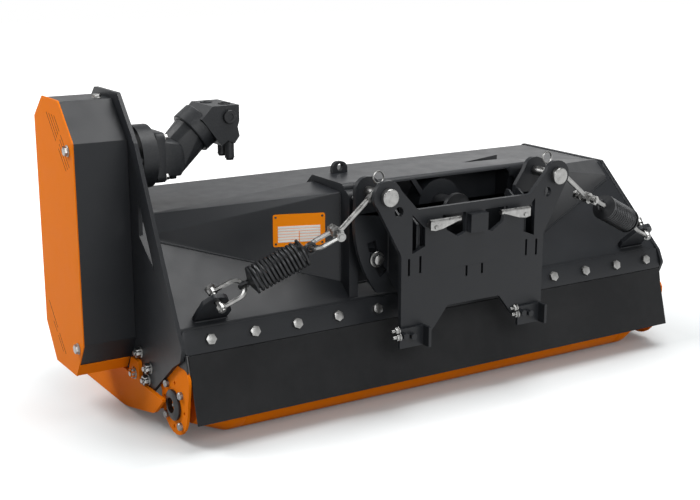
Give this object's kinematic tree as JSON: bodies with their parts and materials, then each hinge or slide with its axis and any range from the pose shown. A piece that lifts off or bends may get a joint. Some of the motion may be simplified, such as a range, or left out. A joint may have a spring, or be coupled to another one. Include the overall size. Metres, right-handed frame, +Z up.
{
  "type": "excavator mulcher",
  "caption": "Excavator mulcher: a toothed rotor in a steel hood with a belt case, hydraulic motor, rear roller, skids, rubber flaps and a sprung pendulum hitch.",
  "frame": {"origin": "on the front face of the hitch plate, on the machine's centre plane, 0.300 m above the ground that the skids and roller stand on", "axes": "+X along the rotor, from the belt case side to the plain side; +Y from the hitch towards the far side of the hood; +Z up"},
  "size_m": [1.6693, 0.8276, 0.783],
  "materials": {
    "black_paint": "satin black paint",
    "orange_paint": "satin orange paint",
    "zinc_plate": "bright zinc plate",
    "dark_steel": "dark oiled steel",
    "cast_housing": "dark painted cast iron",
    "rubber": "matt black rubber",
    "plate_orange": "printed metal plate"
  },
  "bodies": {
    "hood": {"hood_shell": "black_paint", "side_plate_left": "black_paint", "side_plate_right": "black_paint", "belt_case_shell": "black_paint", "belt_case_cover": "orange_paint", "rear_clamp_strip": "black_paint", "front_clamp_strip": "black_paint", "counter_knife": "dark_steel", "hitch_beam": "black_paint", "data_plate": "plate_orange", "lifting_eye": "black_paint", "pivot_pin": "zinc_plate", "motor_mount": "cast_housing", "motor_housing": "cast_housing", "motor_port_block": "cast_housing", "drive_belt": "rubber", "shoulder_left": "black_paint", "shoulder_right": "black_paint", "spring_lug_left": "black_paint", "spring_lug_right": "black_paint", "roller_bracket_left": "orange_paint", "roller_bracket_right": "orange_paint", "roller_hub_left": "dark_steel", "roller_hub_right": "dark_steel", "skid_left": "orange_paint", "skid_right": "orange_paint", "rotor_bearing_left": "cast_housing", "rotor_bearing_right": "cast_housing"},
    "rear_flap": {"rear_flap": "rubber"},
    "front_flap": {"front_flap": "rubber"},
    "roller": {"roller": "orange_paint"},
    "rotor": {"rotor_drum": "dark_steel", "rotor_pulley": "dark_steel"},
    "motor_drive": {"motor_pulley": "dark_steel"},
    "hitch": {"hitch_plate": "black_paint", "swing_plate": "black_paint", "hitch_rib_inner_left": "black_paint", "hitch_rib_outer_left": "black_paint", "hitch_rib_inner_right": "black_paint", "hitch_rib_outer_right": "black_paint", "hook_insert_left": "zinc_plate", "hook_insert_right": "zinc_plate", "coupler_pin_left": "zinc_plate", "coupler_pin_right": "zinc_plate", "lynch_pin_left": "zinc_plate", "lynch_pin_right": "zinc_plate", "lock_bracket_left": "black_paint", "lock_bracket_right": "black_paint"},
    "spring_lower_left": {"lower_shackle_left": "zinc_plate", "lower_plug_left": "dark_steel", "spring_left": "dark_steel"},
    "spring_lower_right": {"lower_shackle_right": "zinc_plate", "lower_plug_right": "dark_steel", "spring_right": "dark_steel"},
    "spring_upper_left": {"upper_plug_left": "dark_steel", "upper_shackle_left": "zinc_plate", "tension_rod_left": "zinc_plate"},
    "spring_upper_right": {"upper_plug_right": "dark_steel", "upper_shackle_right": "zinc_plate", "tension_rod_right": "zinc_plate"}
  },
  "joints": [
    {"name": "hitch_swing", "type": "hinge", "parent": "hood", "child": "hitch", "pos_m": [0, 0.12, 0.18], "axis": [0, 1, 0], "range_deg": [-7, 7], "stiffness_Nm_per_rad": 900},
    {"name": "spring_swing_left", "type": "hinge", "parent": "hood", "child": "spring_lower_left", "pos_m": [-0.66, 0.09, 0.043], "axis": [0, 1, 0], "range_deg": [-3.4, 3.4]},
    {"name": "spring_swing_right", "type": "hinge", "parent": "hood", "child": "spring_lower_right", "pos_m": [0.66, 0.09, 0.043], "axis": [0, 1, 0], "range_deg": [-3.4, 3.4]},
    {"name": "spring_stretch_left", "type": "slide", "parent": "spring_lower_left", "child": "spring_upper_left", "axis": [0.8886, 0, 0.4586], "range_m": [-0.024, 0.024], "deforming": ["spring_left"]},
    {"name": "spring_stretch_right", "type": "slide", "parent": "spring_lower_right", "child": "spring_upper_right", "axis": [-0.8886, 0, 0.4586], "range_m": [-0.024, 0.024], "deforming": ["spring_right"]},
    {"name": "rotor_spin", "type": "hinge", "parent": "hood", "child": "rotor", "pos_m": [0, 0.486, -0.06], "axis": [1, 0, 0], "continuous": true},
    {"name": "motor_spin", "type": "hinge", "parent": "hood", "child": "motor_drive", "pos_m": [0, 0.486, 0.314], "axis": [1, 0, 0], "continuous": true},
    {"name": "roller_spin", "type": "hinge", "parent": "hood", "child": "roller", "pos_m": [0, 0.165, -0.217], "axis": [1, 0, 0], "continuous": true},
    {"name": "rear_flap_swing", "type": "hinge", "parent": "hood", "child": "rear_flap", "pos_m": [0, 0.09473, -0.08256], "axis": [-1, 0, 0], "range_deg": [0, 20]},
    {"name": "front_flap_swing", "type": "hinge", "parent": "hood", "child": "front_flap", "pos_m": [0, 0.7833, 0.0207], "axis": [1, 0, 0], "range_deg": [0, 60]}
  ],
  "couplings": [
    {"joint": "spring_swing_left", "follows": "hitch_swing", "ratio": -0.4318},
    {"joint": "spring_swing_right", "follows": "hitch_swing", "ratio": -0.4318},
    {"joint": "spring_stretch_left", "follows": "hitch_swing", "m_per_rad": 0.18096},
    {"joint": "spring_stretch_right", "follows": "hitch_swing", "m_per_rad": -0.18096},
    {"joint": "motor_spin", "follows": "rotor_spin", "ratio": 1}
  ]
}
